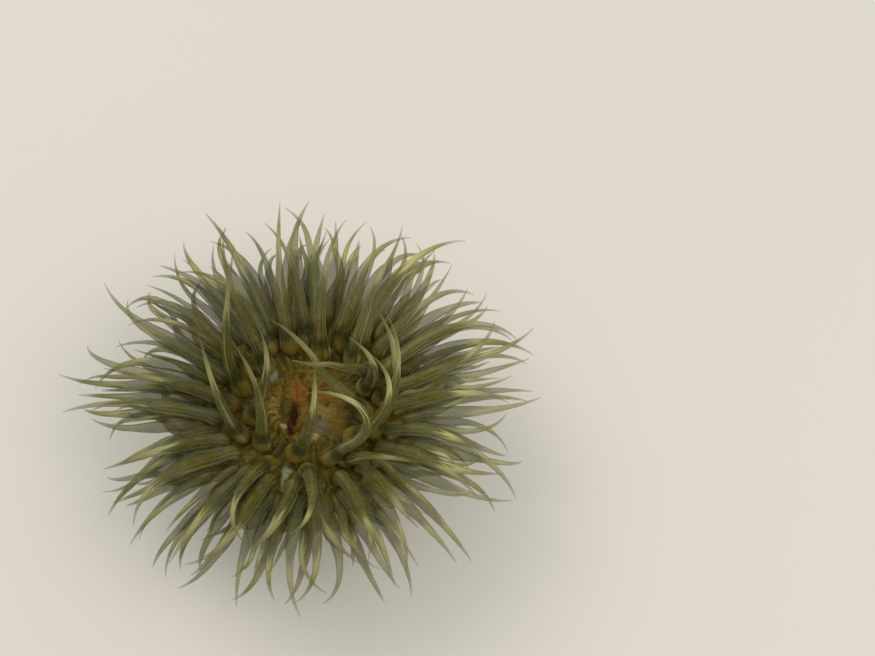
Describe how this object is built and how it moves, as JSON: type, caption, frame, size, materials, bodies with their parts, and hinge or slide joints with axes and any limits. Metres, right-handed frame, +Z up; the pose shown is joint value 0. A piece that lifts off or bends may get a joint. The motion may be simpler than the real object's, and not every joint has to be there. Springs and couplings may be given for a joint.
{
  "type": "sea anemone",
  "caption": "Life-size burrowing sea anemone on its pedal disc: short furrowed column, oral disc with lips, and a spread crown of long tapering tentacles.",
  "frame": {"origin": "centre of the pedal disc's flat underside, on the surface that the animal stands on", "axes": "+Z up along the column, -Y towards the front, from where the picture was taken"},
  "size_m": [0.0905, 0.0851, 0.0498],
  "materials": {
    "column_skin": "moist, softly wrinkled flesh",
    "disc_skin": "moist mottled flesh",
    "lip_skin": "moist flesh",
    "tentacle_skin": "moist translucent flesh"
  },
  "bodies": {
    "root": {"column_lower": "column_skin", "column_upper": "column_skin", "mouth_lips": "lip_skin", "oral_disc": "disc_skin", "pedal_disc": "column_skin", "tentacles_inner_01": "tentacle_skin", "tentacles_inner_02": "tentacle_skin", "tentacles_inner_03": "tentacle_skin", "tentacles_inner_04": "tentacle_skin", "tentacles_inner_05": "tentacle_skin", "tentacles_inner_06": "tentacle_skin", "tentacles_outer_01": "tentacle_skin", "tentacles_outer_02": "tentacle_skin", "tentacles_outer_03": "tentacle_skin", "tentacles_outer_04": "tentacle_skin", "tentacles_outer_05": "tentacle_skin", "tentacles_outer_06": "tentacle_skin", "tentacles_outer_07": "tentacle_skin", "tentacles_outer_08": "tentacle_skin", "tentacles_outer_09": "tentacle_skin", "tentacles_outer_10": "tentacle_skin", "tentacles_outer_11": "tentacle_skin", "tentacles_outer_12": "tentacle_skin"}
  },
  "joints": []
}
